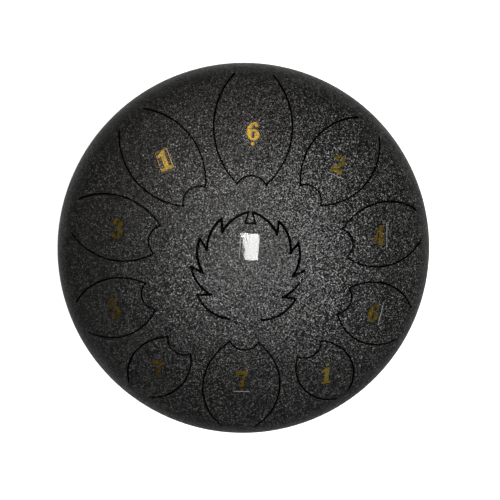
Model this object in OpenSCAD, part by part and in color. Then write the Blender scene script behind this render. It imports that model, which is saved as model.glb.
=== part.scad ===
// Steel tongue drum with eleven notes: a pressed top shell with its tongues cut in it, a bottom
// shell with the sound hole, three screwed rubber feet and a clear note label on each tongue.
// Millimetres, +Z up, origin on the ground under the drum's centre, +Y towards the low 6 tongue.

/* [Drum] */
// Outer diameter of the drum at its rim
drum_d = 254; // [205:1:310]
// Height of the top shell above the rim
top_h = 63.5; // [53:0.5:76]
// Radius of the top shell's shoulder, where the crown turns down to the rim
shoulder_r = 38; // [31:0.5:46]
// Height of the bottom shell below the rim, which is also the radius of its side
bottom_h = 58; // [48:0.5:70]
// Thickness of the steel sheet of both shells
sheet_t = 1.8; // [1.2:0.1:2.6]

/* [Rim joint] */
// How far the bottom shell's lip stands up inside the top shell
rim_lip_h = 4; // [3:0.5:6]
// Gap between that lip and the inside of the top shell
rim_lip_gap = 0.2; // [0.1:0.05:0.5]
// Chamfer on the outer edge of each shell, where they meet
rim_chamfer = 0.5; // [0.2:0.1:0.8]

/* [Tongues] */
// Width of the cuts that free the tongues
kerf = 1.2; // [0.8:0.1:2]
// Half of the distance between the two corners at a tongue's free end
corner_half_w = 9.2; // [7.5:0.1:11]
// Depth of the round notch between those corners
notch_depth = 5.4; // [4:0.1:7]

/* [Centre tongue] */
// Distance of the centre tongue's middle from the drum's middle, towards the low 7 tongue
leaf_offset = 5; // [4:0.5:6]
// Width of the cuts round it
leaf_kerf = 1.7; // [1.4:0.1:2.1]
// Radius to the tips of its teeth
tip_r = 36.4; // [30:0.1:44]
// Radius to the notches between its teeth
tooth_notch_r = 28.9; // [24:0.1:29.5]
// Radius of the bowed side of each tooth
tooth_bow_r = 25; // [20:0.5:30]
// Radius to the ends of its cuts
leaf_root_r = 34.6; // [31:0.1:38]
// Depth of the dovetail tab at its top
tab_depth = 7; // [5.6:0.1:8.4]
// Half width of the tab's neck, between the middles of the cuts
tab_neck_half_w = 1.2; // [1:0.1:1.4]
// Half width of the tab's end, between the middles of the cuts
tab_end_half_w = 3.3; // [2.7:0.1:4]

/* [Labels] */
// Width of a note label
label_w = 12; // [10:0.5:14.5]
// Height of a note label
label_h = 17; // [14:0.5:20.5]
// Radius of a label's corners
label_corner_r = 1; // [0.5:0.1:1.2]
// Thickness of a label's film
label_t = 0.15; // [0.12:0.01:0.2]

/* [Sound hole] */
// Diameter of the sound hole in the bottom
hole_d = 64; // [53:1:77]
// Inside radius of the bend that turns the hole's edge inwards
hole_bend_r = 2.4; // [2:0.1:3]
// Length of the straight edge above that bend
hole_edge_h = 4; // [3:0.5:5]

/* [Feet] */
// Diameter of a foot at the shell
foot_d = 22; // [18:0.5:26]
// Diameter of a foot on the ground
foot_base_d = 19; // [16:0.5:21]
// Height of a foot
foot_h = 15; // [12.5:0.5:18]
// Depth of the recess for the screw head in a foot
foot_recess_depth = 9; // [7.5:0.5:10.5]
// Clearance round the washer in that recess
foot_recess_gap = 0.5; // [0.3:0.1:1]

/* [Fasteners] */
// Diameter of the foot screws' thread
screw_d = 5; // [4:0.5:6]
// Diameter of the screw heads
screw_head_d = 9.5; // [8:0.5:11]
// Diameter of the flat on top of a screw head
screw_crown_d = 6.6; // [5.5:0.1:7.6]
// Height of the screw heads
screw_head_h = 2.8; // [2.3:0.1:3.3]
// Size across the flats of the hexagon socket in a screw head
socket_af = 3; // [2.5:0.1:3.6]
// Depth of that socket
socket_depth = 1.8; // [1.5:0.1:2.1]
// Clearance round the thread in the holes it passes through
screw_gap = 0.25; // [0.15:0.05:0.4]
// Outer diameter of the washers
washer_d = 10; // [9:0.5:12]
// Thickness of the washers
washer_t = 1; // [0.8:0.1:1.2]
// Size across the flats of the lock nuts
nut_af = 8; // [7:0.5:9.6]
// Height of the lock nuts' hexagon
nut_hex_h = 3.6; // [3:0.1:4.3]
// Diameter of the round collar above it
nut_collar_d = 7.4; // [6.6:0.1:8]
// Height of that collar
nut_collar_h = 1.4; // [1.2:0.1:1.7]
// Length of thread that stands past a nut
thread_past_nut = 1.4; // [1.2:0.1:1.7]

/* [Hidden] */
$fn = 200;

rim_r = drum_d / 2;
base_z = foot_h;
rim_z = base_z + bottom_h;
top_z = rim_z + top_h;

// The crown is the sphere that meets the shoulder's arc without a step, on the line through the
// centres of both.
shoulder_x = rim_r - shoulder_r;
crown_r = (rim_r * rim_r + top_h * top_h - 2 * rim_r * shoulder_r) / (2 * (top_h - shoulder_r));
crown_z = top_z - crown_r;
crown_centre = [0, crown_z];
shoulder_centre = [shoulder_x, rim_z];
joint_end = 2 * shoulder_centre - crown_centre;

base_flat_r = rim_r - bottom_h;
hole_r = hole_d / 2;
hole_turn_x = hole_r + sheet_t + hole_bend_r;
hole_turn_z = base_z + sheet_t + hole_bend_r;

rim_lip_r = shoulder_x + sqrt(pow(shoulder_r - sheet_t, 2) - pow(rim_lip_h, 2)) - rim_lip_gap;

FOOT_COUNT = 3;
foot_pitch_r = (hole_turn_x + base_flat_r) / 2;
head_top_z = foot_recess_depth - washer_t;
nut_z = base_z + sheet_t + washer_t;
screw_end_z = nut_z + nut_hex_h + nut_collar_h + thread_past_nut;
hole_clear_d = screw_d + 2 * screw_gap;
recess_d = washer_d + 2 * foot_recess_gap;

// How far a cutting shape runs past the face that it cuts
PAST = 1;

// Circumscribed radius of a hexagon for its size across the flats
function hex_r(across_flats) = across_flats / 2 / cos(30);

// The outer tongues and their labels. DIRECTION is in degrees from +Y, left is positive, and so is
// a label's LEAN. The other columns are in hundredths of the rim's radius: how far from the drum's
// middle a tongue's free end lies, its cuts end, it is widest and its label sits, and half of that
// greatest width.
TONGUES = [
    ["low_6",     0,    38.5, 93.5, 20,   67.5, 63.5,  0],
    ["1",        42.5,  42,   91.5, 18,   67.5, 65.5, 25],
    ["2",       -41.5,  45.5, 92,   17.5, 69,   67,  -20],
    ["3",        79.5,  47,   90.5, 16.5, 70,   68,   -2],
    ["4",       -78,    50,   92,   16.5, 71.5, 69,    2],
    ["5",       113.4,  53,   91.5, 15.5, 73,   73,   13],
    ["6",      -111.5,  53.5, 91.5, 16.5, 73.5, 72,   -8],
    ["7",       144.2,  56.5, 91,   14.8, 73.5, 74,    1],
    ["high_1", -143.2,  56.5, 91,   14.6, 72.5, 74,    5],
    ["low_7",   180,    42,   92,   20,   67.5, 64,    1]
];
DIRECTION = 1;
FREE_END = 2;
CUT_END = 3;
HALF_WIDTH = 4;
WIDEST = 5;
LABEL_PLACE = 6;
LEAN = 7;
// The centre tongue's label, in the same measures
CENTRE_LABEL_PLACE = 7.5;
CENTRE_LABEL_LEAN = -2;

// Hundredths of the rim's radius in millimetres
function of_rim(hundredths) = hundredths / 100 * rim_r;

TOOTH_COUNT = 4;
TOOTH_STEP = 30;
// Turn from the tip of a tooth to the notch that ends the next bowed side
TOOTH_REACH = 37.3;
// Direction of the ends of the centre tongue's cuts, measured at its own middle
LEAF_ROOT_ANGLE = 162.5;

// ---- Plane figures ----

// Sector of a plane about the origin, from angle a1 to a2, less than 180 degrees apart
module wedge(a1, a2, reach) {
    middle = (a1 + a2) / 2;
    far = reach / cos((a2 - a1) / 4);
    polygon([[0, 0], far * [cos(a1), sin(a1)], far * [cos((a1 + middle) / 2), sin((a1 + middle) / 2)],
             far * [cos(middle), sin(middle)], far * [cos((a2 + middle) / 2), sin((a2 + middle) / 2)],
             far * [cos(a2), sin(a2)]]);
}

// Ring between two radii about a point of the plane
module ring(centre, r_in, r_out) {
    translate(centre) difference() {
        circle(r_out);
        circle(r_in);
    }
}

// Sector of such a ring, from angle a1 to a2
module ring_sector(centre, r_in, r_out, a1, a2) {
    intersection() {
        ring(centre, r_in, r_out);
        translate(centre) wedge(a1, a2, r_out + PAST);
    }
}

// Cut of a width along an arc of a circle, run on by half a kerf at both ends
module arc_cut(centre, r, a1, a2, width) {
    run_on = kerf / 2 / r * 180 / PI;
    ring_sector(centre, r - width / 2, r + width / 2, a1 - run_on, a2 + run_on);
}

// Cut of a width along the arc of radius r from point a to point b that bulges to the right of
// that way
module bowed_cut(a, b, r, width) {
    chord = b - a;
    side = [chord[1], -chord[0]] / norm(chord);
    centre = (a + b) / 2 - side * sqrt(r * r - chord * chord / 4);
    middle = atan2(side[1], side[0]);
    half = asin(norm(chord) / 2 / r);
    arc_cut(centre, r, middle - half, middle + half, width);
}

// Straight cut of a width from point a to point b, run on by half a kerf at both ends
module straight_cut(a, b, width) {
    chord = b - a;
    translate((a + b) / 2) rotate(atan2(chord[1], chord[0]))
        square([norm(chord) + kerf, width], center = true);
}

// ---- Cuts ----

// The cut round one outer tongue, pointing along +Y: two bowed sides and the notch between them
module tongue_cut(row) {
    free_y = of_rim(row[FREE_END]);
    root_y = of_rim(row[CUT_END]);
    half_w = of_rim(row[HALF_WIDTH]);
    wide_y = of_rim(row[WIDEST]);
    bow = half_w - corner_half_w;
    side_r = (pow(wide_y - free_y, 2) + bow * bow) / (2 * bow);
    side_x = half_w - side_r;
    corner_angle = atan2(free_y - wide_y, corner_half_w - side_x);
    root_angle = asin((root_y - wide_y) / side_r);
    notch_r = (pow(corner_half_w, 2) + pow(notch_depth, 2)) / (2 * notch_depth);
    notch_half_angle = asin(corner_half_w / notch_r);
    for (hand = [0, 1]) mirror([hand, 0])
        arc_cut([side_x, wide_y], side_r, corner_angle, root_angle, kerf);
    arc_cut([0, free_y + notch_depth - notch_r], notch_r, 90 - notch_half_angle,
            90 + notch_half_angle, kerf);
}

// Point of the centre tongue at a distance from its middle and an angle from +Y
function leaf_point(r, angle) = [r * sin(angle), r * cos(angle) - leaf_offset];

// The leaf-shaped cut round the centre tongue, with four teeth a side and the dovetail tab on top
module leaf_cut() {
    neck = leaf_point(tip_r, 0) + [tab_neck_half_w, 0];
    tab_end = leaf_point(tip_r - tab_depth, 0) + [tab_end_half_w, 0];
    for (hand = [0, 1]) mirror([hand, 0]) {
        bowed_cut(leaf_point(tooth_notch_r, TOOTH_REACH), neck, tooth_bow_r, leaf_kerf);
        straight_cut(neck, tab_end, kerf);
        for (i = [1 : TOOTH_COUNT]) {
            tip = leaf_point(tip_r, i * TOOTH_STEP);
            notch = leaf_point(tooth_notch_r, (i - 1) * TOOTH_STEP + TOOTH_REACH);
            next_notch = leaf_point(tooth_notch_r, i * TOOTH_STEP + TOOTH_REACH);
            cut_end = leaf_point(leaf_root_r, LEAF_ROOT_ANGLE);
            straight_cut(notch, tip, leaf_kerf);
            bowed_cut(i < TOOTH_COUNT ? next_notch : cut_end, tip, tooth_bow_r, leaf_kerf);
        }
    }
    straight_cut(tab_end, [-tab_end[0], tab_end[1]], kerf);
}

// ---- Shells ----

// The crown of the top shell's wall, a slice of a hollow sphere
module crown() {
    rotate_extrude() intersection() {
        ring(crown_centre, crown_r - sheet_t, crown_r);
        polygon([crown_centre, joint_end, [0, top_z + PAST]]);
    }
}

// The shoulder, which turns the crown down to the rim
module shoulder() {
    rotate_extrude() difference() {
        intersection() {
            ring(shoulder_centre, shoulder_r - sheet_t, shoulder_r);
            polygon([crown_centre, [joint_end[0], crown_z], joint_end]);
            translate([0, rim_z]) square([joint_end[0], shoulder_r + PAST]);
        }
        rim_groove();
    }
}

// Section of the fine groove round the drum between the shells' chamfered edges
module rim_groove() {
    translate([rim_r, rim_z]) rotate(45) square(sqrt(2) * rim_chamfer, center = true);
}

// The cuts of all the outer tongues, through the whole height of the top shell
module outer_cuts() {
    for (row = TONGUES)
        translate([0, 0, rim_z]) rotate(row[DIRECTION]) linear_extrude(top_h + PAST) tongue_cut(row);
}

// One pressed sheet with its eleven tongues cut in it
module top_shell() {
    color([0.13, 0.13, 0.13]) {
        difference() {
            crown();
            translate([0, 0, rim_z]) linear_extrude(top_h + PAST) leaf_cut();
            outer_cuts();
        }
        difference() {
            shoulder();
            outer_cuts();
        }
    }
}

// Half section of the bottom shell's wall: rim lip, side, flat base and the turned edge of the hole
module bottom_section() {
    joggle_w = rim_r - sheet_t / 2 - rim_lip_r + sheet_t;
    ring_sector([base_flat_r, rim_z], bottom_h - sheet_t, bottom_h, -90, 0);
    translate([rim_lip_r - sheet_t, rim_z - rim_lip_h]) square([joggle_w, rim_lip_h]);
    translate([rim_lip_r - sheet_t, rim_z - rim_lip_h]) square([sheet_t, 2 * rim_lip_h]);
    translate([hole_turn_x, base_z]) square([base_flat_r - hole_turn_x, sheet_t]);
    ring_sector([hole_turn_x, hole_turn_z], hole_bend_r, hole_bend_r + sheet_t, 180, 270);
    translate([hole_r, hole_turn_z]) square([sheet_t, hole_edge_h]);
}

module bottom_shell() {
    color([0.13, 0.13, 0.13])
    difference() {
        rotate_extrude() difference() {
            bottom_section();
            rim_groove();
        }
        for (i = [1 : FOOT_COUNT])
            at_foot(i) translate([0, 0, base_z - PAST])
                cylinder(d = hole_clear_d, h = sheet_t + 2 * PAST);
    }
}

// ---- Feet and their fasteners ----

// Moves its children to foot i; the feet are spaced evenly, the first towards the low 6 tongue
module at_foot(i) {
    rotate((i - 1) * 360 / FOOT_COUNT) translate([0, foot_pitch_r, 0]) children();
}

module foot(i) {
    color([0.06, 0.06, 0.06])
    at_foot(i) difference() {
        cylinder(d1 = foot_base_d, d2 = foot_d, h = foot_h);
        translate([0, 0, -PAST]) cylinder(d = recess_d, h = foot_recess_depth + PAST);
        cylinder(d = hole_clear_d, h = foot_h + PAST);
    }
}

// Washer with its lower face at height z
module washer(i, z) {
    color([0.72, 0.72, 0.7])
    at_foot(i) translate([0, 0, z]) difference() {
        cylinder(d = washer_d, h = washer_t);
        translate([0, 0, -PAST]) cylinder(d = hole_clear_d, h = washer_t + 2 * PAST);
    }
}

module foot_washer(i) {
    washer(i, head_top_z);
}

module inner_washer(i) {
    washer(i, base_z + sheet_t);
}

// Button-head screw, driven from below
module foot_screw(i) {
    color([0.6, 0.6, 0.6])
    at_foot(i) difference() {
        union() {
            translate([0, 0, head_top_z - screw_head_h])
                cylinder(d1 = screw_crown_d, d2 = screw_head_d, h = screw_head_h);
            translate([0, 0, head_top_z - screw_head_h / 2])
                cylinder(d = screw_d, h = screw_end_z - head_top_z + screw_head_h / 2);
        }
        translate([0, 0, head_top_z - screw_head_h - PAST])
            cylinder(r = hex_r(socket_af), h = socket_depth + PAST, $fn = 6);
    }
}

// Lock nut: a hexagon with a round collar over its locking ring
module lock_nut(i) {
    color([0.75, 0.75, 0.72])
    at_foot(i) translate([0, 0, nut_z]) difference() {
        union() {
            cylinder(r = hex_r(nut_af), h = nut_hex_h, $fn = 6);
            cylinder(d = nut_collar_d, h = nut_hex_h + nut_collar_h);
        }
        translate([0, 0, -PAST]) cylinder(d = screw_d, h = nut_hex_h + nut_collar_h + 2 * PAST);
    }
}

// ---- Labels ----

module rounded_label() {
    square([label_w, label_h - 2 * label_corner_r], center = true);
    square([label_w - 2 * label_corner_r, label_h], center = true);
    for (x = [-1, 1], y = [-1, 1])
        translate([x * (label_w / 2 - label_corner_r), y * (label_h / 2 - label_corner_r)])
            circle(label_corner_r);
}

// Clear film on the crown, at a place in hundredths of the rim's radius from the drum's middle
module label(place, direction, lean) {
    tilt = asin(of_rim(place) / crown_r);
    color([0.8, 0.78, 0.7])
    translate([0, 0, crown_z]) intersection() {
        difference() {
            sphere(crown_r + label_t);
            sphere(crown_r);
        }
        rotate(direction) rotate([-tilt, 0, 0]) rotate(lean - direction)
            translate([0, 0, crown_r - PAST]) linear_extrude(2 * PAST) rounded_label();
    }
}

module tongue_label(name) {
    row = TONGUES[search([name], TONGUES)[0]];
    label(row[LABEL_PLACE], row[DIRECTION], row[LEAN]);
}

top_shell();
bottom_shell();
foot(1);  // foot_1
foot(2);  // foot_2
foot(3);  // foot_3
foot_washer(1);  // foot_washer_1
foot_washer(2);  // foot_washer_2
foot_washer(3);  // foot_washer_3
foot_screw(1);  // foot_screw_1
foot_screw(2);  // foot_screw_2
foot_screw(3);  // foot_screw_3
inner_washer(1);  // inner_washer_1
inner_washer(2);  // inner_washer_2
inner_washer(3);  // inner_washer_3
lock_nut(1);  // lock_nut_1
lock_nut(2);  // lock_nut_2
lock_nut(3);  // lock_nut_3
label(CENTRE_LABEL_PLACE, 0, CENTRE_LABEL_LEAN);  // label_low_5
tongue_label("low_6");  // label_low_6
tongue_label("1");  // label_1
tongue_label("2");  // label_2
tongue_label("3");  // label_3
tongue_label("4");  // label_4
tongue_label("5");  // label_5
tongue_label("6");  // label_6
tongue_label("7");  // label_7
tongue_label("high_1");  // label_high_1
tongue_label("low_7");  // label_low_7
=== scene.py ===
"""Looks of the steel tongue drum: speckled black paint, clear note labels with gold numerals,
moulded rubber feet and plated fasteners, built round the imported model."""

import math

import bmesh
import bpy
from bpy.props import FloatProperty, FloatVectorProperty, PointerProperty
from bpy.types import Operator, Panel, PropertyGroup
from mathutils import Euler, Matrix, Vector


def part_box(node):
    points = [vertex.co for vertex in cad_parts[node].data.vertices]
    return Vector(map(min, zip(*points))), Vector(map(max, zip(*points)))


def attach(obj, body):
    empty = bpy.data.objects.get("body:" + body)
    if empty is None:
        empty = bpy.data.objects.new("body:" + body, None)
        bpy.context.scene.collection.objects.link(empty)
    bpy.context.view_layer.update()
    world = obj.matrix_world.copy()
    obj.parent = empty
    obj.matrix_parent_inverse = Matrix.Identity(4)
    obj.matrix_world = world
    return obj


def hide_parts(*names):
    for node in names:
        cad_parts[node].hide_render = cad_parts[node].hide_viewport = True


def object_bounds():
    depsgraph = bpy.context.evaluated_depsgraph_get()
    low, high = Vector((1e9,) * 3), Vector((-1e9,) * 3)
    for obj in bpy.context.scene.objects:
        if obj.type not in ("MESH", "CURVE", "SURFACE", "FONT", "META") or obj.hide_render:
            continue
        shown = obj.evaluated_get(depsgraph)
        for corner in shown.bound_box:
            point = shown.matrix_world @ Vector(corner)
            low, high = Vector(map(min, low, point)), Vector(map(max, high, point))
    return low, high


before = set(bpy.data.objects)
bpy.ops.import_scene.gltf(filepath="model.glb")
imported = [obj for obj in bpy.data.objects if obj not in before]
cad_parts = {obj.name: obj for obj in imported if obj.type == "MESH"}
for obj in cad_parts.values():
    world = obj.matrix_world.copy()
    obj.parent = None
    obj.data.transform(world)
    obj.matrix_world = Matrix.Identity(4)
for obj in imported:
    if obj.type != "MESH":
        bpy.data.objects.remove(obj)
CAD_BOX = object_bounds()

bl_info = {
    "name": "Steel Tongue Drum",
    "version": (1, 0, 0),
    "blender": (4, 5, 0),
    "location": "View3D > Sidebar > Tongue Drum",
    "description": "Paints a steel tongue drum and adds its labels, feet, fasteners and studio",
    "category": "Object",
}

MM = 0.001
BODY = "root"
FOOT_NUMBERS = (1, 2, 3)
# Points closer than this are one point.
TOUCHING = 1e-7
# Steps of a full turn, and of each side of a hexagon.
TURN_STEPS = 96
HEXAGON_SIDES = 6
STEPS_PER_SIDE = 8

# Each label: its node, its numeral, the side where an octave dot stands (1 above, -1 below), the
# lean it was stuck on with in degrees (left is positive) and the side along which a pale strip is
# painted as the glint of a loose edge.
LABELS = (
    ("label_low_5", "5", -1, -2, "left"),
    ("label_low_6", "6", -1, 0, None),
    ("label_1", "1", 0, 25, None),
    ("label_2", "2", 0, -20, "bottom"),
    ("label_3", "3", 0, -2, None),
    ("label_4", "4", 0, 2, "right"),
    ("label_5", "5", 0, 13, None),
    ("label_6", "6", 0, -8, "right"),
    ("label_7", "7", 0, 1, None),
    ("label_high_1", "1", 1, 5, None),
    ("label_low_7", "7", -1, 1, "bottom"),
)

# The centre's film is cloudier and its foil duller than the rest.
CENTRE_LABEL = "label_low_5"
# This label's numeral has a thin frame round it.
FRAMED_LABEL = "label_1"

# Outlines of the numerals on a field 9 wide and 14 high: s is a corner and c a point of a curve.
NUMERAL_FIELD = (9, 14)
NUMERALS = {
    "1": [[
        (1.2, 0, "s"), (7.8, 0, "s"), (7.8, 1.7, "s"), (6.1, 1.7, "s"), (6.1, 14, "s"),
        (4.2, 14, "s"), (1.1, 11.6, "s"), (1.1, 9.8, "s"), (3.1, 10.6, "s"), (3.1, 1.7, "s"),
        (1.2, 1.7, "s"),
    ]],
    "2": [[
        (0.7, 0, "s"), (8, 0, "s"), (8.5, 4, "s"), (7.2, 4, "s"), (6.5, 2.6, "s"),
        (3.6, 2.6, "s"), (7.2, 6.4, "c"), (8.3, 10.1, "c"), (4.6, 14, "c"), (1.2, 12.3, "c"),
        (1, 9.8, "c"), (3, 9.4, "c"), (3.5, 11.4, "c"), (4.4, 12.2, "c"), (5.3, 10.2, "c"),
        (4.1, 6.7, "c"), (0.7, 2.2, "s"),
    ]],
    "3": [[
        (0.7, 3.4, "c"), (1.6, 0.9, "c"), (4.5, 0, "c"), (8.2, 3.8, "c"), (6.4, 7.4, "s"),
        (7.8, 10.6, "c"), (4.5, 14, "c"), (1.6, 13.1, "c"), (1, 10.8, "c"), (2.8, 10, "c"),
        (3.5, 11.5, "c"), (4.2, 12.3, "c"), (4.9, 10.6, "c"), (4.1, 8.3, "c"), (2.9, 7.9, "s"),
        (2.9, 6.8, "s"), (4.2, 6.4, "c"), (5.2, 3.9, "c"), (4.2, 1.7, "c"), (3.4, 2.6, "c"),
        (2.6, 4.3, "c"),
    ]],
    "4": [
        [
            (4.7, 14, "s"), (7, 14, "s"), (7, 4.9, "s"), (8.7, 4.9, "s"), (8.7, 3.1, "s"),
            (7, 3.1, "s"), (7, 1.5, "s"), (8.4, 1.5, "s"), (8.4, 0, "s"), (2.9, 0, "s"),
            (2.9, 1.5, "s"), (4.4, 1.5, "s"), (4.4, 3.1, "s"), (0.4, 3.1, "s"), (0.4, 4.6, "s"),
        ],
        [(4.4, 4.9, "s"), (2.1, 4.9, "s"), (4.4, 9.7, "s")],
    ],
    "5": [[
        (1.5, 14, "s"), (7.6, 14, "s"), (7.6, 11.4, "s"), (3, 11.4, "s"), (2.8, 8.6, "s"),
        (5.2, 9.3, "c"), (8.3, 4.8, "c"), (4.4, 0, "c"), (1.5, 0.9, "c"), (0.7, 3.1, "c"),
        (2.3, 4.2, "c"), (3.3, 2.7, "c"), (4.2, 1.7, "c"), (5.3, 4.6, "c"), (4.3, 7.4, "c"),
        (2.4, 6.4, "s"), (1.2, 6.4, "s"),
    ]],
    "6": [
        [
            (4.6, 0, "c"), (8.4, 4.4, "c"), (5.4, 8.8, "c"), (3.6, 8.1, "s"), (4.3, 11.6, "c"),
            (5.3, 12.3, "c"), (5.6, 10.8, "c"), (7.4, 10.6, "c"), (7.5, 12.8, "c"),
            (5.1, 14, "c"), (0.5, 6.6, "c"),
        ],
        [(4.5, 1.7, "c"), (3.6, 4.4, "c"), (4.6, 7, "c"), (5.4, 4.4, "c")],
    ],
    "7": [[
        (0.9, 14, "s"), (8.2, 14, "s"), (8.2, 12, "s"), (6, 6.6, "c"), (5.8, 0, "s"),
        (2.7, 0, "s"), (3.5, 5.5, "c"), (5.8, 11, "s"), (2.5, 11, "s"), (2.1, 9.2, "s"),
        (0.9, 9.2, "s"),
    ]],
}


# ---- Sizes and colours ----

class DrumPaint(PropertyGroup):
    """Paint of both shells"""
    black: FloatVectorProperty(
        name="Black", description="Ground colour of the paint", subtype="COLOR", size=3,
        min=0, max=1, default=(0.0015, 0.0015, 0.0015))
    fleck: FloatVectorProperty(
        name="Fleck", description="Colour of the brightest flecks", subtype="COLOR", size=3,
        min=0, max=1, default=(0.18, 0.178, 0.17))
    fleck_spacing: FloatProperty(
        name="Fleck Spacing", description="Distance from one fleck to the next",
        subtype="DISTANCE", unit="LENGTH", min=0.0003, max=0.01, default=0.54 * MM)
    fleck_rarity: FloatProperty(
        name="Fleck Rarity", description="How much rarer bright flecks are than dull ones",
        min=1, max=20, default=10)
    grain_depth: FloatProperty(
        name="Grain Depth", description="How far a fleck's face rises from edge to edge",
        subtype="DISTANCE", unit="LENGTH", min=0, max=0.002, default=0.4 * MM)
    roughness: FloatProperty(
        name="Roughness", description="Roughness of the paint", subtype="FACTOR", min=0, max=1,
        default=0.36)
    weld_radius: FloatProperty(
        name="Weld Radius", description="Radius of the weld bead round the rim",
        subtype="DISTANCE", unit="LENGTH", min=0.0001, max=0.001, default=0.3 * MM)


class NoteLabels(PropertyGroup):
    """Clear films and their gold numerals"""
    film_width: FloatProperty(
        name="Film Width", description="Width of a label", subtype="DISTANCE", unit="LENGTH",
        min=0.008, max=0.02, default=12 * MM)
    film_height: FloatProperty(
        name="Film Height", description="Height of a label", subtype="DISTANCE",
        unit="LENGTH", min=0.01, max=0.03, default=17 * MM)
    numeral_height: FloatProperty(
        name="Numeral Height", description="Height of a numeral", subtype="DISTANCE",
        unit="LENGTH", min=0.005, max=0.016, default=12.7 * MM)
    numeral_width: FloatProperty(
        name="Numeral Width", description="Width of the field that a numeral fills",
        subtype="DISTANCE", unit="LENGTH", min=0.004, max=0.012, default=9.4 * MM)
    dot_radius: FloatProperty(
        name="Dot Radius", description="Radius of an octave dot", subtype="DISTANCE",
        unit="LENGTH", min=0.0004, max=0.002, default=1.1 * MM)
    foil: FloatVectorProperty(
        name="Foil", description="Colour of the gold foil", subtype="COLOR", size=3, min=0,
        max=1, default=(0.95, 0.56, 0.06))
    aged_foil: FloatVectorProperty(
        name="Aged Foil", description="Colour of the foil's dull patches", subtype="COLOR",
        size=3, min=0, max=1, default=(0.62, 0.5, 0.08))
    # A film's edge strip is a painted highlight: a pale film standing for the glint of a loose edge.
    edge_width: FloatProperty(
        name="Edge Width", description="Width of a film's lifted edge and of a numeral's frame",
        subtype="DISTANCE", unit="LENGTH", min=0.0001, max=0.001, default=0.38 * MM)
    corner_radius: FloatProperty(
        name="Corner Radius", description="Radius of a film's corners", subtype="DISTANCE",
        unit="LENGTH", min=0.0002, max=0.003, default=1 * MM)
    frame_narrowing: FloatProperty(
        name="Frame Narrowing", description="How much narrower a frame is than its numeral's field",
        subtype="DISTANCE", unit="LENGTH", min=0, max=0.003, default=1 * MM)
    frame_rise: FloatProperty(
        name="Frame Rise", description="How much taller a frame is than its numeral",
        subtype="DISTANCE", unit="LENGTH", min=0, max=0.003, default=1.2 * MM)
    foil_lift: FloatProperty(
        name="Foil Lift", description="Gap from the crown to the foil", subtype="DISTANCE",
        unit="LENGTH", min=0, max=0.0002, default=0.02 * MM)
    foil_thickness: FloatProperty(
        name="Foil Thickness", description="Thickness of a numeral", subtype="DISTANCE",
        unit="LENGTH", min=0.00001, max=0.0002, default=0.06 * MM)
    film_lift: FloatProperty(
        name="Film Lift", description="Gap from the crown to the film", subtype="DISTANCE",
        unit="LENGTH", min=0, max=0.0003, default=0.1 * MM)
    film_thickness: FloatProperty(
        name="Film Thickness", description="Thickness of a film", subtype="DISTANCE",
        unit="LENGTH", min=0.00001, max=0.0002, default=0.04 * MM)
    bend_step: FloatProperty(
        name="Bend Step", description="Distance between the lines along which a label bends",
        subtype="DISTANCE", unit="LENGTH", min=0.0005, max=0.01, default=2 * MM)


class DrumFeet(PropertyGroup):
    """Rubber feet"""
    rounding: FloatProperty(
        name="Foot Rounding", description="Radius of a foot's edge on the ground",
        subtype="DISTANCE", unit="LENGTH", min=0.0002, max=0.002, default=1.3 * MM)
    top_rounding: FloatProperty(
        name="Top Rounding", description="Radius of a foot's edge under the drum",
        subtype="DISTANCE", unit="LENGTH", min=0.0001, max=0.002, default=0.5 * MM)
    taper: FloatProperty(
        name="Taper", description="How much a foot's radius shrinks towards the ground",
        subtype="DISTANCE", unit="LENGTH", min=0, max=0.004, default=1.5 * MM)
    recess_gap: FloatProperty(
        name="Recess Gap", description="Gap between a washer and its recess",
        subtype="DISTANCE", unit="LENGTH", min=0.0001, max=0.001, default=0.5 * MM)
    mouth_rounding: FloatProperty(
        name="Mouth Rounding", description="Radius of the recess's edge on the ground",
        subtype="DISTANCE", unit="LENGTH", min=0.0001, max=0.002, default=0.7 * MM)
    seat_rounding: FloatProperty(
        name="Seat Rounding", description="Radius round the recess's seat",
        subtype="DISTANCE", unit="LENGTH", min=0.0001, max=0.002, default=0.4 * MM)
    hole_share: FloatProperty(
        name="Hole Share", description="Screw hole's radius as a share of the screw head's",
        subtype="FACTOR", min=0.55, max=0.9, default=0.58)
    rubber: FloatVectorProperty(
        name="Rubber", description="Colour of the rubber", subtype="COLOR", size=3, min=0,
        max=1, default=(0.016, 0.016, 0.016))


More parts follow.
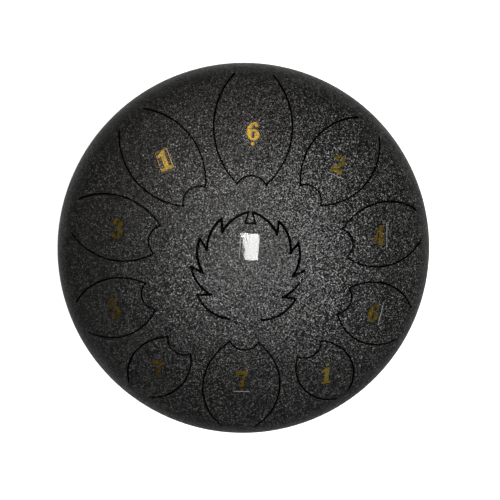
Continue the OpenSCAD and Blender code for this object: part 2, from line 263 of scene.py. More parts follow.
class DrumFasteners(PropertyGroup):
    """Screws, washers and lock nuts of the feet"""
    shank_radius: FloatProperty(
        name="Shank Radius", description="Radius of a foot screw's thread",
        subtype="DISTANCE", unit="LENGTH", min=0.001, max=0.004, default=2.5 * MM)
    thread_pitch: FloatProperty(
        name="Thread Pitch", description="Pitch of the foot screws' thread",
        subtype="DISTANCE", unit="LENGTH", min=0.0004, max=0.001, default=0.8 * MM)
    tip_chamfer: FloatProperty(
        name="Tip Chamfer", description="How much a screw narrows at its tip",
        subtype="DISTANCE", unit="LENGTH", min=0.0001, max=0.001, default=0.4 * MM)
    socket: FloatProperty(
        name="Socket", description="Size across the flats of a screw's socket",
        subtype="DISTANCE", unit="LENGTH", min=0.001, max=0.006, default=3 * MM)
    socket_depth: FloatProperty(
        name="Socket Depth", description="Depth of a socket's flats", subtype="DISTANCE",
        unit="LENGTH", min=0.0005, max=0.0025, default=1.8 * MM)
    cone_depth: FloatProperty(
        name="Cone Depth", description="Depth of the cone's tip under a socket",
        subtype="DISTANCE", unit="LENGTH", min=0.0006, max=0.003, default=2.3 * MM)
    head_edge: FloatProperty(
        name="Head Edge", description="Height of the straight edge of a screw's head",
        subtype="DISTANCE", unit="LENGTH", min=0, max=0.001, default=0.3 * MM)
    washer_hole: FloatProperty(
        name="Washer Hole", description="Radius of a washer's hole", subtype="DISTANCE",
        unit="LENGTH", min=0.0015, max=0.004, default=2.75 * MM)
    collar_edge: FloatProperty(
        name="Collar Edge", description="Radius of a lock nut's rolled edge",
        subtype="DISTANCE", unit="LENGTH", min=0.0001, max=0.0006, default=0.4 * MM)
    nylon_width: FloatProperty(
        name="Nylon Width", description="Width of the nylon ring in a lock nut's mouth",
        subtype="DISTANCE", unit="LENGTH", min=0.0002, max=0.001, default=0.55 * MM)
    nylon_depth: FloatProperty(
        name="Nylon Depth", description="How far the nylon lies below a lock nut's top",
        subtype="DISTANCE", unit="LENGTH", min=0.0001, max=0.001, default=0.2 * MM)


class DrumStudio(PropertyGroup):
    """Camera, lights and floor"""
    camera_distance: FloatProperty(
        name="Camera Distance", description="From the middle of the rim's plane",
        subtype="DISTANCE", unit="LENGTH", min=0.3, max=5, default=0.889)
    camera_side: FloatProperty(
        name="Camera Side", description="How far the camera stands beside its axis",
        subtype="DISTANCE", unit="LENGTH", min=-0.1, max=0.1, default=0.0039)
    camera_lens: FloatProperty(
        name="Lens", description="Focal length in millimetres", min=20, max=300, default=93.5)
    camera_turn: FloatVectorProperty(
        name="Camera Turn", description="Tilt, swing and roll of the camera", subtype="EULER",
        size=3, default=tuple(math.radians(angle) for angle in (-6.71, -2.7, 2.6)))
    floor_radius: FloatProperty(
        name="Floor Radius", description="Radius of the floor", subtype="DISTANCE",
        unit="LENGTH", min=0.5, max=20, default=6)
    sensor_width: FloatProperty(
        name="Sensor Width", description="Width of the camera's sensor in millimetres", min=10,
        max=60, default=36)
    sky: FloatProperty(
        name="Room Light", description="Strength of the even light from all round", min=0,
        max=2, default=0.012)


# ---- Meshes ----

def link(item):
    """Puts an object in the scene."""
    bpy.context.scene.collection.objects.link(item)
    return item


def new_mesh(name, bm, materials, sharp_angle):
    """Mesh from a bmesh, smooth except along its sharp edges."""
    bmesh.ops.remove_doubles(bm, verts=bm.verts, dist=TOUCHING)
    mesh = bpy.data.meshes.new(name)
    bm.to_mesh(mesh)
    bm.free()
    mesh.shade_smooth()
    mesh.set_sharp_from_angle(angle=math.radians(sharp_angle))
    for material in materials:
        mesh.materials.append(material)
    return mesh


def finish_piece(name, bm, materials, nodes=(), sharp_angle=35):
    """Makes a bmesh, already in its place, a piece of the drum."""
    piece = link(bpy.data.objects.new(name, new_mesh(name, bm, materials, sharp_angle)))
    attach(piece, BODY)
    if nodes:
        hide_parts(*nodes)
    return piece


def turned(section, steps=TURN_STEPS):
    """Ring turned about the Z axis from a closed section of (radius, height, rounding) corners."""
    bm = bmesh.new()
    corners = [bm.verts.new((radius, 0, height)) for radius, height, _ in section]
    for start, end in zip(corners, corners[1:] + corners[:1]):
        bm.edges.new((start, end))
    for corner, (_, _, rounding) in zip(corners, section):
        if rounding:
            bmesh.ops.bevel(bm, geom=[corner], offset=rounding, offset_type="OFFSET", segments=4,
                            profile=0.5, affect="VERTICES", material=-1)
    bmesh.ops.spin(bm, geom=bm.verts[:] + bm.edges[:], cent=(0, 0, 0), axis=(0, 0, 1),
                   angle=math.tau, steps=steps, use_merge=True)
    bmesh.ops.remove_doubles(bm, verts=bm.verts, dist=TOUCHING)
    bmesh.ops.recalc_face_normals(bm, faces=bm.faces)
    return bm


def hexagon(corner_radius, height):
    """New bmesh with a hexagon's outline, each side cut into steps."""
    bm = bmesh.new()
    bmesh.ops.create_circle(bm, segments=HEXAGON_SIDES, radius=corner_radius)
    bmesh.ops.subdivide_edges(bm, edges=bm.edges[:], cuts=STEPS_PER_SIDE - 1)
    bmesh.ops.translate(bm, vec=(0, 0, height), verts=bm.verts)
    return bm


def of_kind(made, kind):
    """The vertices, edges or faces among what an operator made."""
    return [item for item in made if isinstance(item, kind)]


def grow(bm, edges, radius, height, material=0):
    """Runs a loop of edges on to a circle of a radius at a height."""
    made = bmesh.ops.extrude_edge_only(bm, edges=edges)["geom"]
    for vert in of_kind(made, bmesh.types.BMVert):
        flat = vert.co.xy.normalized() * radius
        vert.co = (flat.x, flat.y, height)
    for face in of_kind(made, bmesh.types.BMFace):
        face.material_index = material
    return of_kind(made, bmesh.types.BMEdge)


def foot_place(node):
    """Point of a foot's axis on the ground."""
    low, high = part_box(node)
    return Vector(((low.x + high.x) / 2, (low.y + high.y) / 2, 0))


def crown_sphere():
    """Radius of the crown's sphere and height of its centre, from its top and one more point."""
    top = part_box("top_shell")[1].z
    clear_of_top = 30 * MM
    ring = [vert.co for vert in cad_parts["top_shell"].data.vertices
            if vert.co.xy.length > clear_of_top]
    point = max(ring, key=lambda co: co.z)
    drop = top - point.z
    radius = (point.xy.length_squared + drop * drop) / (2 * drop)
    return radius, top - radius


def label_place(node, lean, radius, centre_z):
    """Matrix that takes a label from the top of a sphere about the origin to its place."""
    low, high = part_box(node)
    middle = ((low + high) / 2).xy
    direction = Matrix.Rotation(math.atan2(-middle.x, middle.y), 4, "Z")
    tilt = Matrix.Rotation(-math.asin(middle.length / radius), 4, "X")
    upright = Matrix.Rotation(math.radians(lean), 4, "Z")
    return (Matrix.Translation((0, 0, centre_z)) @ direction @ tilt @ direction.inverted()
            @ upright)


def cut_grid(bm, size, spacing):
    """Cuts a flat mesh along a grid, so that it can bend."""
    count = math.ceil(size / 2 / spacing)
    for normal in (Vector((1, 0, 0)), Vector((0, 1, 0))):
        for i in range(-count, count + 1):
            bmesh.ops.bisect_plane(bm, geom=bm.verts[:] + bm.edges[:] + bm.faces[:], dist=TOUCHING,
                                   plane_co=normal * i * spacing, plane_no=normal)


def thicken(bm, thickness):
    """Gives a flat mesh a thickness upwards."""
    made = bmesh.ops.extrude_face_region(bm, geom=bm.faces[:])
    bmesh.ops.translate(bm, vec=(0, 0, thickness), verts=of_kind(made["geom"], bmesh.types.BMVert))
    bmesh.ops.recalc_face_normals(bm, faces=bm.faces)


def lay_on_sphere(bm, radius, lift):
    """Bends a flat mesh over the top of a sphere, a lift above it."""
    for vert in bm.verts:
        level = radius + lift + vert.co.z
        vert.co.z = math.sqrt(level * level - vert.co.xy.length_squared)


# ---- Nodes ----

def node_tree(name):
    """New material and its empty node tree."""
    material = bpy.data.materials.new(name)
    material.use_nodes = True
    tree = material.node_tree
    tree.nodes.clear()
    return material, tree


def add(tree, kind, **values):
    """Adds a node: a value named like a socket fills it, and any other sets a property."""
    node = tree.nodes.new(kind)
    for key, value in values.items():
        socket = node.inputs.get(key.replace("_", " "))
        if socket is None:
            setattr(node, key, value)
        else:
            socket.default_value = value
    return node


def feed(tree, value, socket):
    """Links a socket's value into a socket, or sets a constant on it."""
    if isinstance(value, bpy.types.NodeSocket):
        tree.links.new(value, socket)
    else:
        socket.default_value = value


def object_place(tree):
    """Where a point lies in its object's own space."""
    return add(tree, "ShaderNodeTexCoord").outputs["Object"]


def noise(tree, place, size, detail, roughness):
    """Noise whose blotches are about one size apart."""
    node = add(tree, "ShaderNodeTexNoise", Scale=1 / size, Detail=detail, Roughness=roughness)
    feed(tree, place, node.inputs["Vector"])
    return node.outputs["Fac"]


def vector_maths(tree, operation, first, second):
    node = add(tree, "ShaderNodeVectorMath", operation=operation)
    feed(tree, first, node.inputs[0])
    feed(tree, second, node.inputs[1])
    return node.outputs["Value" if operation == "DOT_PRODUCT" else "Vector"]


def flecks(tree, place, spacing):
    """Close-set flecks, each with a random tone from 0 to 1 and a face that leans its own way."""
    node = add(tree, "ShaderNodeTexVoronoi", Scale=1 / spacing)
    feed(tree, place, node.inputs["Vector"])
    tone = add(tree, "ShaderNodeSeparateColor")
    feed(tree, node.outputs["Color"], tone.inputs["Color"])
    lean = vector_maths(tree, "SUBTRACT", node.outputs["Color"], (0.5, 0.5, 0.5))
    away = vector_maths(tree, "SUBTRACT", place, node.outputs["Position"])
    height = vector_maths(tree, "DOT_PRODUCT", lean, away)
    return tone.outputs["Red"], maths(tree, "DIVIDE", height, spacing)


def maths(tree, operation, first, second):
    node = add(tree, "ShaderNodeMath", operation=operation)
    feed(tree, first, node.inputs[0])
    feed(tree, second, node.inputs[1])
    return node.outputs[0]


def ramp(tree, value, low, high, to_low=0.0, to_high=1.0):
    """Takes low..high of a value to to_low..to_high, and no further."""
    node = add(tree, "ShaderNodeMapRange", From_Min=low, From_Max=high, To_Min=to_low,
               To_Max=to_high)
    feed(tree, value, node.inputs["Value"])
    return node.outputs["Result"]


def blend(tree, factor, low, high):
    """Mixes two colours."""
    node = add(tree, "ShaderNodeMix", data_type="RGBA")
    factor_socket, low_socket, high_socket, mixed_socket = 0, 6, 7, 2
    feed(tree, factor, node.inputs[factor_socket])
    feed(tree, (*low, 1), node.inputs[low_socket])
    feed(tree, (*high, 1), node.inputs[high_socket])
    return node.outputs[mixed_socket]


def shader(tree, **values):
    """The material's shader: constants are set on its own sockets, and sockets are linked."""
    node = tree.nodes.new("ShaderNodeBsdfPrincipled")
    for key, value in values.items():
        feed(tree, value, node.inputs[key.replace("_", " ")])
    output = tree.nodes.new("ShaderNodeOutputMaterial")
    tree.links.new(node.outputs["BSDF"], output.inputs["Surface"])


def relief(tree, height, depth):
    """Normal of a face whose height from 0 to 1 stands for a depth."""
    node = add(tree, "ShaderNodeBump", Distance=depth)
    feed(tree, height, node.inputs["Height"])
    return node.outputs["Normal"]


def darker(colour, share):
    """A share of a colour's brightness."""
    return tuple(share * channel for channel in colour)


# ---- Materials ----

def fleck_paint(paint):
    """Black paint packed with fine grey flecks, whose leaning faces break up its gloss."""
    material, tree = node_tree("fleck_paint")
    place = object_place(tree)
    tone, face = flecks(tree, place, paint.fleck_spacing)
    patch = noise(tree, place, size=30 * MM, detail=3.0, roughness=0.5)
    bright_share = maths(tree, "POWER", tone, paint.fleck_rarity)
    shade = maths(tree, "MULTIPLY", bright_share,
                  ramp(tree, patch, low=0.3, high=0.7, to_low=0.7, to_high=1.0))
    spread = 0.03
    shader(tree,
           Base_Color=blend(tree, shade, tuple(paint.black), tuple(paint.fleck)),
           Roughness=ramp(tree, patch, low=0.3, high=0.7, to_low=paint.roughness + spread,
                          to_high=paint.roughness - spread),
           Normal=relief(tree, face, paint.grain_depth))
    return material


def moulded_rubber(feet):
    """Matt moulded rubber, a little dusty in patches."""
    material, tree = node_tree("moulded_rubber")
    place = object_place(tree)
    grain = noise(tree, place, size=0.6 * MM, detail=4.0, roughness=0.6)
    cloud = noise(tree, place, size=9 * MM, detail=4.0, roughness=0.6)
    dust = ramp(tree, cloud, low=0.45, high=0.75, to_low=0.0, to_high=0.4)
    dusty = (0.07, 0.068, 0.064)
    shader(tree,
           Base_Color=blend(tree, dust, tuple(feet.rubber), dusty),
           Roughness=ramp(tree, grain, low=0.3, high=0.7, to_low=0.6, to_high=0.8),
           Normal=relief(tree, grain, depth=0.06 * MM))
    return material


def plated_steel(name, tint):
    """Zinc-plated steel with fine turning marks and a cloudy tarnish."""
    material, tree = node_tree(name)
    place = object_place(tree)
    cloud = noise(tree, place, size=4 * MM, detail=4.0, roughness=0.6)
    marks = noise(tree, place, size=0.3 * MM, detail=3.0, roughness=0.7)
    tarnish = ramp(tree, cloud, low=0.35, high=0.7)
    shader(tree,
           Base_Color=blend(tree, tarnish, tint, darker(tint, 0.7)),
           Metallic=1.0,
           Roughness=ramp(tree, cloud, low=0.3, high=0.7, to_low=0.24, to_high=0.42),
           Normal=relief(tree, marks, depth=0.02 * MM))
    return material


def milky_nylon():
    """Nylon of the lock nuts' rings."""
    material, tree = node_tree("milky_nylon")
    place = object_place(tree)
    grain = noise(tree, place, size=0.8 * MM, detail=3.0, roughness=0.5)
    grey_white, cream = (0.55, 0.56, 0.54), (0.74, 0.74, 0.7)
    shader(tree,
           Base_Color=blend(tree, grain, grey_white, cream),
           Roughness=ramp(tree, grain, low=0.3, high=0.7, to_low=0.35, to_high=0.5),
           Normal=relief(tree, grain, depth=0.03 * MM))
    return material


def clear_film(name, tint, cover, gloss, coat):
    """Film that is seen through past its cover, with a gloss, faint ripples and fine scuffs."""
    material, tree = node_tree(name)
    place = object_place(tree)
    ripple = noise(tree, place, size=6 * MM, detail=2.0, roughness=0.5)
    scuff = noise(tree, place, size=0.8 * MM, detail=4.0, roughness=0.7)
    scuffed = ramp(tree, scuff, low=0.45, high=0.7)
    shader(tree,
           Base_Color=blend(tree, scuffed, tint, darker(tint, 0.6)),
           IOR=gloss,
           Alpha=cover,
           Coat_Weight=coat,
           Coat_Roughness=0.04,
           Roughness=ramp(tree, scuff, low=0.4, high=0.8, to_low=0.05, to_high=0.14),
           Normal=relief(tree, ripple, depth=0.04 * MM))
    return material


def gold_foil(name, labels, share, roughness):
    """Crinkled gold foil that keeps a share of its brightness."""
    material, tree = node_tree(name)
    place = object_place(tree)
    crinkle = noise(tree, place, size=1.5 * MM, detail=4.0, roughness=0.65)
    tone = noise(tree, place, size=3 * MM, detail=2.0, roughness=0.5)
    aged = ramp(tree, tone, low=0.35, high=0.65)
    spread = 0.1
    shader(tree,
           Base_Color=blend(tree, aged, darker(labels.foil, share),
                            darker(labels.aged_foil, share)),
           Metallic=1.0,
           Roughness=ramp(tree, crinkle, low=0.3, high=0.7, to_low=roughness - spread,
                          to_high=roughness + spread),
           Normal=relief(tree, crinkle, depth=0.2 * MM))
    return material


def pale_floor():
    """Pale ground, glowing white to the camera past the drum, with painted shade under the drum: dark
    in colour and without glow below its middle.
    """
    material, tree = node_tree("pale_floor")
    reach = add(tree, "ShaderNodeVectorMath", operation="LENGTH")
    feed(tree, object_place(tree), reach.inputs[0])
    distance = reach.outputs["Value"]
    rim = CAD_BOX[1].x
    shade_end = 0.4 * rim
    # Painted shade: the floor's colour is dark below the drum's middle out to shade_end and pale from
    # 0.7 of the rim, then dims again farther out than the rim.
    shade = maths(tree, "MULTIPLY",
                  ramp(tree, distance, low=shade_end, high=0.7 * rim),
                  ramp(tree, distance, low=rim, high=1.8 * rim, to_low=1.0, to_high=0.1))
    # Painted shadow: the glow that the camera sees is nothing below the drum's middle and grows to
    # full white at the rim.
    glow_past_painted_shadow = ramp(tree, distance, low=shade_end, high=rim)
    seen = add(tree, "ShaderNodeLightPath").outputs["Is Camera Ray"]
    painted_shade_colour, pale = (0.02, 0.02, 0.02), (0.55, 0.55, 0.55)
    shader(tree,
           Base_Color=blend(tree, shade, painted_shade_colour, pale),
           Roughness=0.9,
           Emission_Color=(1, 1, 1, 1),
           Emission_Strength=maths(tree, "MULTIPLY", glow_past_painted_shadow, seen))
    return material


# ---- Shells ----

def give_finish(node, material):
    """Gives a carried-over node one material."""
    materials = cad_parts[node].data.materials
    materials.clear()
    materials.append(material)


class DRUM_OT_paint_shells(Operator):
    """Paint both shells and the ground weld that fills the groove between them"""
    bl_idname = "drum.paint_shells"
    bl_label = "Paint Shells"

    def execute(self, context):
        paint = fleck_paint(context.scene.drum_paint)
        for node in ("top_shell", "bottom_shell"):
            give_finish(node, paint)
        bead = context.scene.drum_paint.weld_radius
        sunk = 1.6 * bead
        low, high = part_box("top_shell")
        bm = bmesh.new()
        bmesh.ops.create_circle(bm, segments=8, radius=bead,
                                matrix=Matrix.Translation((high.x - sunk, 0, low.z))
                                @ Matrix.Rotation(math.pi / 2, 4, "X"))
        bmesh.ops.spin(bm, geom=bm.verts[:] + bm.edges[:], cent=(0, 0, 0), axis=(0, 0, 1),
                       angle=math.tau, steps=4 * TURN_STEPS, use_merge=True)
        bmesh.ops.recalc_face_normals(bm, faces=bm.faces)
        finish_piece("rim_weld", bm, (paint,))
        return {"FINISHED"}


# ---- Labels ----

def film_mesh(labels, glinting):
    """Flat film with rounded corners, and a strip along one side as a second material: a painted
    highlight standing for a loose edge's glint.
    """
    width, height = labels.film_width, labels.film_height
    bm = bmesh.new()
    bmesh.ops.create_grid(bm, x_segments=1, y_segments=1, size=0.5)
    bmesh.ops.scale(bm, vec=(width, height, 1), verts=bm.verts)
    bmesh.ops.bevel(bm, geom=bm.verts[:], offset=labels.corner_radius, offset_type="OFFSET",
                    segments=5, profile=0.5, affect="VERTICES", material=-1)
    cut_grid(bm, height, labels.bend_step)
    side, reach = {"left": (Vector((-1, 0, 0)), width), "right": (Vector((1, 0, 0)), width),
                   "bottom": (Vector((0, -1, 0)), height)}.get(glinting, (None, 0))
    # The strip along this side gets the second material, a pale film painted on as a highlight.
    if side:
        line = side * (reach / 2 - labels.edge_width)
        bmesh.ops.bisect_plane(bm, geom=bm.verts[:] + bm.edges[:] + bm.faces[:], dist=TOUCHING,
                               plane_co=line, plane_no=side)
        for face in bm.faces:
            if (face.calc_center_median() - line).dot(side) > 0:
                face.material_index = 1
    thicken(bm, labels.film_thickness)
    return bm


def numeral_outline(numeral, labels):
    """New bmesh with a flat numeral, filled from its outlines."""
    scale_x = labels.numeral_width / NUMERAL_FIELD[0]
    scale_y = labels.numeral_height / NUMERAL_FIELD[1]
    curve = bpy.data.curves.new("numeral", "CURVE")
    curve.dimensions = "2D"
    curve.fill_mode = "BOTH"
    curve.resolution_u = 6
    for outline in NUMERALS[numeral]:
        spline = curve.splines.new("BEZIER")
        spline.bezier_points.add(len(outline) - 1)
        spline.use_cyclic_u = True
        for point, (x, y, kind) in zip(spline.bezier_points, outline):
            point.co = (scale_x * x - labels.numeral_width / 2,
                        scale_y * y - labels.numeral_height / 2, 0)
            handle = "VECTOR" if kind == "s" else "AUTO"
            point.handle_left_type = handle
            point.handle_right_type = handle
    holder = link(bpy.data.objects.new("numeral", curve))
    flat = bpy.data.meshes.new_from_object(
        holder.evaluated_get(bpy.context.evaluated_depsgraph_get()))
    bm = bmesh.new()
    bm.from_mesh(flat)
    bpy.data.objects.remove(holder)
    bpy.data.curves.remove(curve)
    bpy.data.meshes.remove(flat)
    bmesh.ops.remove_doubles(bm, verts=bm.verts, dist=1e-6)
    return bm


def add_frame(bm, labels):
    """Adds a thin frame round a numeral."""
    corners = bmesh.ops.create_grid(bm, x_segments=1, y_segments=1, size=0.5)["verts"]
    bmesh.ops.scale(bm, vec=(labels.numeral_width - labels.frame_narrowing,
                             labels.numeral_height + labels.frame_rise, 1), verts=corners)
    plate = corners[0].link_faces[:]
    bmesh.ops.inset_region(bm, faces=plate, thickness=labels.edge_width, use_boundary=True,
                           use_even_offset=True)
    bmesh.ops.delete(bm, geom=plate, context="FACES")


def numeral_mesh(numeral, dot, framed, labels):
    """Flat numeral with its octave dot, or with a thin frame round it."""
    bm = numeral_outline(numeral, labels)
    make_room = -1.6 * dot * labels.dot_radius
    bmesh.ops.translate(bm, vec=(0, make_room, 0), verts=bm.verts)
    if dot:
        dot_place = dot * (labels.film_height / 2 - 1.5 * labels.dot_radius)
        bmesh.ops.create_circle(bm, cap_ends=True, segments=24, radius=labels.dot_radius,
                                matrix=Matrix.Translation((0, dot_place, 0)))
    if framed:
        add_frame(bm, labels)
    cut_grid(bm, labels.film_height, labels.bend_step)
    thicken(bm, labels.foil_thickness)
    return bm


class DRUM_OT_stick_labels(Operator):
    """Stick a clear film with a gold numeral on each tongue"""
    bl_idname = "drum.stick_labels"
    bl_label = "Stick Labels"

    def execute(self, context):
        labels = context.scene.drum_labels
        film = clear_film("clear_film", tint=(0.02, 0.02, 0.019), cover=0.07, gloss=1.8, coat=1.0)
        cloudy_film = clear_film("cloudy_film", tint=(0.02, 0.02, 0.02), cover=0.4, gloss=1.56,
                                 coat=0.0)
        # Pale film for the edge strip: a painted highlight, the glint of a loose edge.
        edge = clear_film("painted_glint_film_edge", tint=(0.5, 0.53, 0.56), cover=0.35, gloss=1.8,
                          coat=1.0)
        foil = gold_foil("gold_foil", labels, share=1, roughness=0.3)
        worn_foil = gold_foil("worn_gold_foil", labels, share=0.2, roughness=0.85)
        radius, centre_z = crown_sphere()
        for node, numeral, dot, lean, glinting in LABELS:
            central = node == CENTRE_LABEL
            place = label_place(node, lean, radius, centre_z)
            bm = numeral_mesh(numeral, dot, node == FRAMED_LABEL, labels)
            lay_on_sphere(bm, radius, labels.foil_lift)
            bmesh.ops.transform(bm, matrix=place, verts=bm.verts)
            finish_piece(node.replace("label", "numeral"), bm, (worn_foil if central else foil,))
            bm = film_mesh(labels, glinting)
            lay_on_sphere(bm, radius, labels.film_lift)
            bmesh.ops.transform(bm, matrix=place, verts=bm.verts)
            finish_piece(node.replace("label", "film"), bm, (cloudy_film if central else film, edge),
                         (node,))
        return {"FINISHED"}


# ---- Feet and their fasteners ----

def axis_sizes(node):
    """A round node's radius and its lowest and highest point."""
    low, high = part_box(node)
    return (high.x - low.x) / 2, low.z, high.z


class DRUM_OT_mould_feet(Operator):
    """Mould the three rubber feet with their recesses"""
    bl_idname = "drum.mould_feet"
    bl_label = "Mould Feet"

    def execute(self, context):
        feet = context.scene.drum_feet
        rubber = moulded_rubber(feet)
        for number in FOOT_NUMBERS:
            node = f"foot_{number}"
            radius, bottom, top = axis_sizes(node)
            washer_radius, _, recess_top = axis_sizes(f"foot_washer_{number}")
            hole = axis_sizes(f"foot_screw_{number}")[0] * feet.hole_share
            recess = washer_radius + feet.recess_gap
            bm = turned((
                (hole, top, 0), (radius, top, feet.top_rounding),
                (radius - feet.taper, bottom, feet.rounding),
                (recess, bottom, feet.mouth_rounding), (recess, recess_top, feet.seat_rounding),
                (hole, recess_top, 0)))
            bmesh.ops.translate(bm, vec=foot_place(node), verts=bm.verts)
            finish_piece(f"rubber_foot_{number}", bm, (rubber,), (node,))
        return {"FINISHED"}


def sink_socket(bm, mouth, head_bottom, fasteners):
    """Sinks a hexagon socket with a cone at its end from a loop of edges."""
    made = bmesh.ops.extrude_edge_only(bm, edges=mouth)["geom"]
    bmesh.ops.translate(bm, vec=(0, 0, fasteners.socket_depth),
                        verts=of_kind(made, bmesh.types.BMVert))
    tip_radius = 0.01 * MM
    grow(bm, of_kind(made, bmesh.types.BMEdge), tip_radius, head_bottom + fasteners.cone_depth)


def screw_mesh(head_radius, head_bottom, head_top, end, fasteners):
    """Button-head screw, head down, with a hexagon socket and a ringed thread."""
    bm = hexagon(fasteners.socket / 2 / math.cos(math.pi / HEXAGON_SIDES), head_bottom)
    mouth = bm.edges[:]
    sink_socket(bm, mouth, head_bottom, fasteners)

    crown_radius = 0.69 * head_radius
    crown_steps = 6
    height = head_top - head_bottom
    loop = grow(bm, mouth, crown_radius, head_bottom)
    for i in range(1, crown_steps + 1):
        turn = i / crown_steps * math.pi / 2
        loop = grow(bm, loop, crown_radius + (head_radius - crown_radius) * math.sin(turn),
                    head_bottom + (height - fasteners.head_edge) * (1 - math.cos(turn)))
    loop = grow(bm, loop, head_radius, head_top)

    shank, pitch = fasteners.shank_radius, fasteners.thread_pitch
    thread_depth, crest_end, root, crest_start = 0.45 * pitch, 0.15 * pitch, 0.5 * pitch, 0.85 * pitch
    loop = grow(bm, loop, shank, head_top)
    for i in range(int((end - head_top) / pitch)):
        base = head_top + i * pitch
        loop = grow(bm, loop, shank, base + crest_end)
        loop = grow(bm, loop, shank - thread_depth, base + root)
        loop = grow(bm, loop, shank, base + crest_start)
    loop = grow(bm, loop, shank - fasteners.tip_chamfer, end)
    bmesh.ops.contextual_create(bm, geom=loop)
    bmesh.ops.remove_doubles(bm, verts=bm.verts, dist=0.02 * MM)
    bmesh.ops.recalc_face_normals(bm, faces=bm.faces)
    return bm


def nut_mesh(corner_radius, bottom, top, fasteners):
    """Lock nut: a chamfered hexagon, a round collar and a nylon ring in its mouth."""
    flat_radius = corner_radius * math.cos(math.pi / HEXAGON_SIDES)
    hex_top = bottom + 0.72 * (top - bottom)
    bm = hexagon(corner_radius, bottom)
    lower = bm.edges[:]
    made = bmesh.ops.extrude_edge_only(bm, edges=lower)["geom"]
    upper = of_kind(made, bmesh.types.BMEdge)
    for vert in of_kind(made, bmesh.types.BMVert):
        vert.co.z = hex_top
    chamfer_slope, chamfer_start = math.tan(math.radians(30)), 0.05 * MM
    for vert in bm.verts:
        pull = (vert.co.xy.length - flat_radius) * chamfer_slope + chamfer_start
        vert.co.z += pull if vert.co.z < (bottom + hex_top) / 2 else -pull

    face_radius = 0.98 * flat_radius
    collar = 0.925 * flat_radius
    bore = fasteners.shank_radius
    roll = fasteners.collar_edge
    loop = grow(bm, upper, face_radius, hex_top)
    loop = grow(bm, loop, collar, hex_top)
    loop = grow(bm, loop, collar, top - roll)
    loop = grow(bm, loop, collar - 0.3 * roll, top - 0.3 * roll)
    loop = grow(bm, loop, collar - roll, top)
    nylon_radius, slant = bore + fasteners.nylon_width, 0.05 * MM
    nylon_top = top - fasteners.nylon_depth
    loop = grow(bm, loop, nylon_radius + slant, top)
    loop = grow(bm, loop, nylon_radius, nylon_top)
    loop = grow(bm, loop, bore, nylon_top - slant, material=1)
    loop = grow(bm, loop, bore, bottom)
    closing = grow(bm, lower, face_radius, bottom)
    bmesh.ops.bridge_loops(bm, edges=loop + closing)
    bmesh.ops.recalc_face_normals(bm, faces=bm.faces)
    return bm


class DRUM_OT_fit_fasteners(Operator):
    """Fit the screws, washers and lock nuts of the feet"""
    bl_idname = "drum.fit_fasteners"
    bl_label = "Fit Fasteners"

    def execute(self, context):
        fasteners = context.scene.drum_fasteners
        screw_steel = plated_steel("zinc_screw_steel", tint=(0.62, 0.63, 0.64))
        washer_steel = plated_steel("zinc_washer_steel", tint=(0.7, 0.7, 0.69))
        nut_steel = plated_steel("zinc_nut_steel", tint=(0.66, 0.66, 0.64))
        nylon = milky_nylon()
        hole, hole_rounding, edge_rounding = fasteners.washer_hole, 0.1 * MM, 0.2 * MM
        for number in FOOT_NUMBERS:
            place = foot_place(f"foot_{number}")
            node = f"foot_screw_{number}"
            radius, bottom, top = axis_sizes(node)
            under_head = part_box(f"foot_washer_{number}")[0].z
            bm = screw_mesh(radius, bottom, under_head, top, fasteners)
            bmesh.ops.translate(bm, vec=place, verts=bm.verts)
            finish_piece(f"button_screw_{number}", bm, (screw_steel,), (node,))
            for kind in ("foot_washer", "inner_washer"):
                node = f"{kind}_{number}"
                radius, bottom, top = axis_sizes(node)
                bm = turned(((hole, bottom, hole_rounding), (radius, bottom, edge_rounding),
                             (radius, top, edge_rounding), (hole, top, hole_rounding)))
                bmesh.ops.translate(bm, vec=place, verts=bm.verts)
                finish_piece(f"plated_{node}", bm, (washer_steel,), (node,))
            node = f"lock_nut_{number}"
            low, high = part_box(node)
            bm = nut_mesh(max(high.x - low.x, high.y - low.y) / 2, low.z, high.z, fasteners)
            bmesh.ops.translate(bm, vec=place, verts=bm.verts)
            finish_piece(f"nylon_lock_nut_{number}", bm, (nut_steel, nylon), (node,))
        return {"FINISHED"}


# ---- Studio ----

# Soft lights: name, direction from the drum, distance, width and height in metres, strength in
# watts and colour.
LIGHTS = (
    ("key", (0.2, 0.04, 1.35), 1.365, 0.7, 0.4, 28.5, (1, 1, 1)),
    ("warm_strip", (-0.25, 0.65, 0.72), 1.2, 0.9, 0.22, 1.7, (1, 0.86, 0.66)),
    ("cool_side", (0.5, -0.7, 0.5), 1.4, 0.8, 0.5, 0.4, (0.8, 0.9, 1)),
)


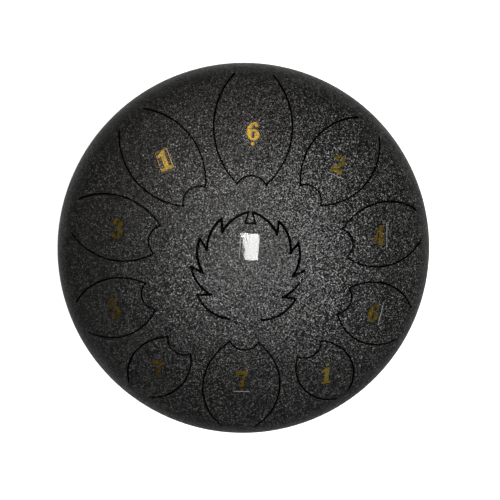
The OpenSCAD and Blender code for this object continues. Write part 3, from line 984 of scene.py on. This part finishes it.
class DRUM_OT_set_studio(Operator):
    """Set up the floor, the lights and the camera"""
    bl_idname = "drum.set_studio"
    bl_label = "Set Studio"

    def execute(self, context):
        studio = context.scene.drum_studio
        scene = context.scene
        scene.view_settings.view_transform = "Standard"
        ground = CAD_BOX[0].z
        aim = Vector((0, 0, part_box("top_shell")[0].z))

        bm = bmesh.new()
        bmesh.ops.create_circle(bm, cap_ends=True, segments=64, radius=studio.floor_radius)
        bmesh.ops.translate(bm, vec=(0, 0, ground), verts=bm.verts)
        floor = link(bpy.data.objects.new("floor", new_mesh("floor", bm, (pale_floor(),), 30)))

        world = bpy.data.worlds.new("studio")
        world.use_nodes = True
        tree = world.node_tree
        background = tree.nodes["Background"]
        background.inputs["Color"].default_value = (1, 1, 1, 1)
        seen = add(tree, "ShaderNodeLightPath").outputs["Is Camera Ray"]
        feed(tree, ramp(tree, seen, 0, 1, studio.sky, 1.0), background.inputs["Strength"])
        scene.world = world

        for name, direction, distance, width, height, strength, colour in LIGHTS:
            light = bpy.data.lights.new(name, "AREA")
            light.shape = "RECTANGLE"
            light.size, light.size_y = width, height
            light.energy = strength
            light.color = colour
            lamp = link(bpy.data.objects.new(name, light))
            away = Vector(direction).normalized()
            lamp.location = aim + distance * away
            lamp.rotation_euler = away.to_track_quat("Z", "Y").to_euler()

        camera = bpy.data.cameras.new("camera")
        camera.lens = studio.camera_lens
        camera.sensor_width = studio.sensor_width
        holder = link(bpy.data.objects.new("camera", camera))
        turn = Euler(studio.camera_turn, "XYZ")
        holder.rotation_euler = turn
        holder.location = aim + turn.to_matrix() @ Vector(
            (studio.camera_side, 0, studio.camera_distance))
        scene.camera = holder
        return {"FINISHED"}


class DRUM_PT_steps(Panel):
    """Lists the steps in the sidebar"""
    bl_idname = "DRUM_PT_steps"
    bl_label = "Tongue Drum"
    bl_space_type = "VIEW_3D"
    bl_region_type = "UI"
    bl_category = "Tongue Drum"

    def draw(self, context):
        for operator in OPERATORS:
            self.layout.operator(operator.bl_idname)


SETTINGS = (
    ("drum_paint", DrumPaint),
    ("drum_labels", NoteLabels),
    ("drum_feet", DrumFeet),
    ("drum_fasteners", DrumFasteners),
    ("drum_studio", DrumStudio),
)
OPERATORS = (DRUM_OT_paint_shells, DRUM_OT_stick_labels, DRUM_OT_mould_feet,
             DRUM_OT_fit_fasteners, DRUM_OT_set_studio)
CLASSES = tuple(group for _, group in SETTINGS) + OPERATORS + (DRUM_PT_steps,)


def register():
    for item in CLASSES:
        bpy.utils.register_class(item)
    for name, group in SETTINGS:
        setattr(bpy.types.Scene, name, PointerProperty(type=group))


def unregister():
    for name, _ in SETTINGS:
        delattr(bpy.types.Scene, name)
    for item in reversed(CLASSES):
        bpy.utils.unregister_class(item)


def main():
    register()
    bpy.ops.drum.paint_shells()
    bpy.ops.drum.stick_labels()
    bpy.ops.drum.mould_feet()
    bpy.ops.drum.fit_fasteners()
    bpy.ops.drum.set_studio()


if __name__ == "__main__":
    main()
